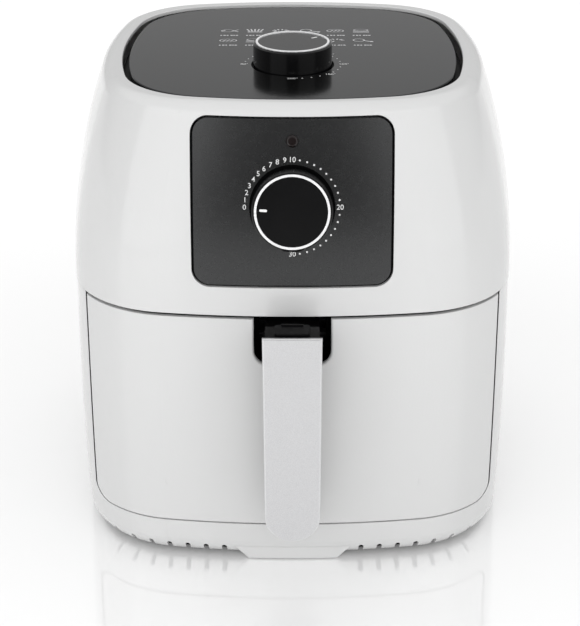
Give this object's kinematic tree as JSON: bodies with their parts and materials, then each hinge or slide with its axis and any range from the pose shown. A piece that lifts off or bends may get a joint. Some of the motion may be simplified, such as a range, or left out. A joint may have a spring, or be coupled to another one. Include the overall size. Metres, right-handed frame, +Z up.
{
  "type": "hot-air fryer",
  "caption": "Countertop hot-air fryer with a pull-out drawer and basket, a timer knob on the front and a temperature knob on top.",
  "frame": {"origin": "on the standing surface, under the middle of the whole object", "axes": "+Z up; the drawer and its handle face -Y; +X is to the right of a person facing the handle"},
  "size_m": [0.3036, 0.3424, 0.3316],
  "materials": {
    "white_gloss": "glossy white",
    "black_plastic": "fine texture",
    "dark_panel": "satin dark grey",
    "dark_knob": "satin",
    "chrome_trim": "bright plated",
    "silver_paint": "satin silver",
    "lens_red": "dark red lens",
    "coated_steel": "non-stick coating",
    "sheet_steel": "plain sheet",
    "aluminised_steel": "dull",
    "element_steel": "heat darkened",
    "fan_metal": "pressed sheet",
    "fan_plastic": "moulded",
    "stator_steel": "laminated",
    "rotor_steel": "turned",
    "brass_bush": "sintered",
    "screw_steel": "zinc plated",
    "foot_rubber": "matt",
    "silicone": "matt",
    "control_plastic": "natural moulding",
    "terminal_plastic": "moulded"
  },
  "bodies": {
    "housing": {"upper_housing": "white_gloss", "lower_housing": "white_gloss", "base_plate": "black_plastic", "rubber_feet": "foot_rubber", "housing_screws": "screw_steel", "cord_gland": "black_plastic", "rear_grille": "black_plastic", "mid_deck": "black_plastic", "top_frame": "black_plastic", "top_panel": "dark_panel", "control_panel": "dark_panel", "control_panel_gasket": "black_plastic", "indicator_lens": "lens_red", "indicator_lamp": "terminal_plastic", "thermostat": "control_plastic", "timer_unit": "control_plastic", "timer_bell": "aluminised_steel", "cooking_chamber": "aluminised_steel", "guide_rails": "sheet_steel", "reflector": "aluminised_steel", "element_guard": "sheet_steel", "heating_element": "element_steel", "element_brackets": "sheet_steel", "motor_bracket": "sheet_steel", "motor_stator": "stator_steel", "motor_bridge": "sheet_steel", "motor_bearings": "brass_bush", "motor_screws": "screw_steel", "thermal_cutoff": "control_plastic", "terminal_block": "terminal_plastic", "drawer_switch": "fan_plastic"},
    "drawer": {"drawer_front": "white_gloss", "drawer_inner_cover": "black_plastic", "drawer_screws": "screw_steel", "drawer_pan": "coated_steel"},
    "basket": {"basket": "coated_steel", "basket_pads": "silicone", "basket_bracket": "sheet_steel", "basket_rivets": "screw_steel", "handle_core": "black_plastic", "handle_cover": "silver_paint", "handle_screws": "screw_steel", "release_spring": "screw_steel"},
    "release_button": {"release_button": "black_plastic"},
    "button_guard": {"button_guard": "black_plastic"},
    "temperature_knob": {"temperature_knob_body": "dark_knob", "temperature_knob_ring": "chrome_trim", "temperature_knob_cap": "dark_knob", "temperature_shaft": "rotor_steel"},
    "timer_knob": {"timer_knob_body": "dark_knob", "timer_knob_ring": "chrome_trim", "timer_knob_cap": "dark_knob", "timer_shaft": "rotor_steel"},
    "fan": {"motor_shaft": "rotor_steel", "motor_rotor": "rotor_steel", "cooling_fan": "fan_plastic", "convection_fan": "fan_metal", "fan_nut": "screw_steel"}
  },
  "joints": [
    {"name": "drawer_slide", "type": "slide", "parent": "housing", "child": "drawer", "axis": [0, -1, 0], "range_m": [0, 0.29]},
    {"name": "basket_lift", "type": "slide", "parent": "drawer", "child": "basket", "axis": [0, 0, 1], "range_m": [0, 0.005]},
    {"name": "release_press", "type": "slide", "parent": "basket", "child": "release_button", "axis": [0, 0, -1], "range_m": [0, 0.0025], "stiffness_N_per_m": 300, "springref_m": -0.001, "deforming": ["release_spring"]},
    {"name": "guard_slide", "type": "slide", "parent": "basket", "child": "button_guard", "axis": [0, 1, 0], "range_m": [0, 0.011]},
    {"name": "temperature_turn", "type": "hinge", "parent": "housing", "child": "temperature_knob", "pos_m": [0, -0.0182, 0.3213], "axis": [0, 0, 1], "range_deg": [-126, 144]},
    {"name": "timer_turn", "type": "hinge", "parent": "housing", "child": "timer_knob", "pos_m": [0, -0.12753, 0.2558], "axis": [0, -0.9836, 0.1805], "range_deg": [-270, 0]},
    {"name": "fan_spin", "type": "hinge", "parent": "housing", "child": "fan", "pos_m": [0, 0.0168, 0.25], "axis": [0, 0, 1], "continuous": true}
  ]
}
